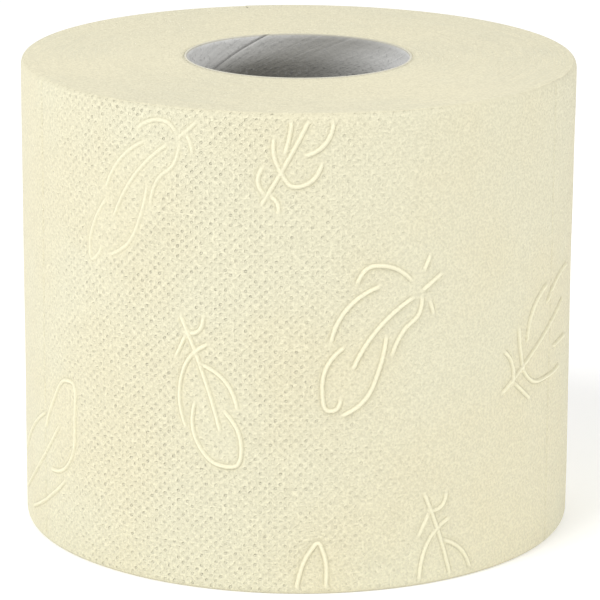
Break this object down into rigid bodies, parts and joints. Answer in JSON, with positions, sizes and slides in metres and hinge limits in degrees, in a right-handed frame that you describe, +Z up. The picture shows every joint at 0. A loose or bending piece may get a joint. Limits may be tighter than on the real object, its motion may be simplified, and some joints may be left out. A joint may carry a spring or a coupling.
{
  "type": "toilet paper roll",
  "caption": "Cylindrical roll of cream embossed tissue wound on a hollow grey card core, standing on its cut end.",
  "frame": {"origin": "centre of the lower cut end, on the axis of the core", "axes": "+Z up along the core's axis, the pictured front towards -Y"},
  "size_m": [0.1116, 0.1124, 0.095],
  "materials": {
    "tissue": "matte embossed tissue, cream",
    "core_board": "matte recycled board, grey"
  },
  "bodies": {
    "root": {"tissue_roll": "tissue", "core_tube": "core_board"}
  },
  "joints": []
}
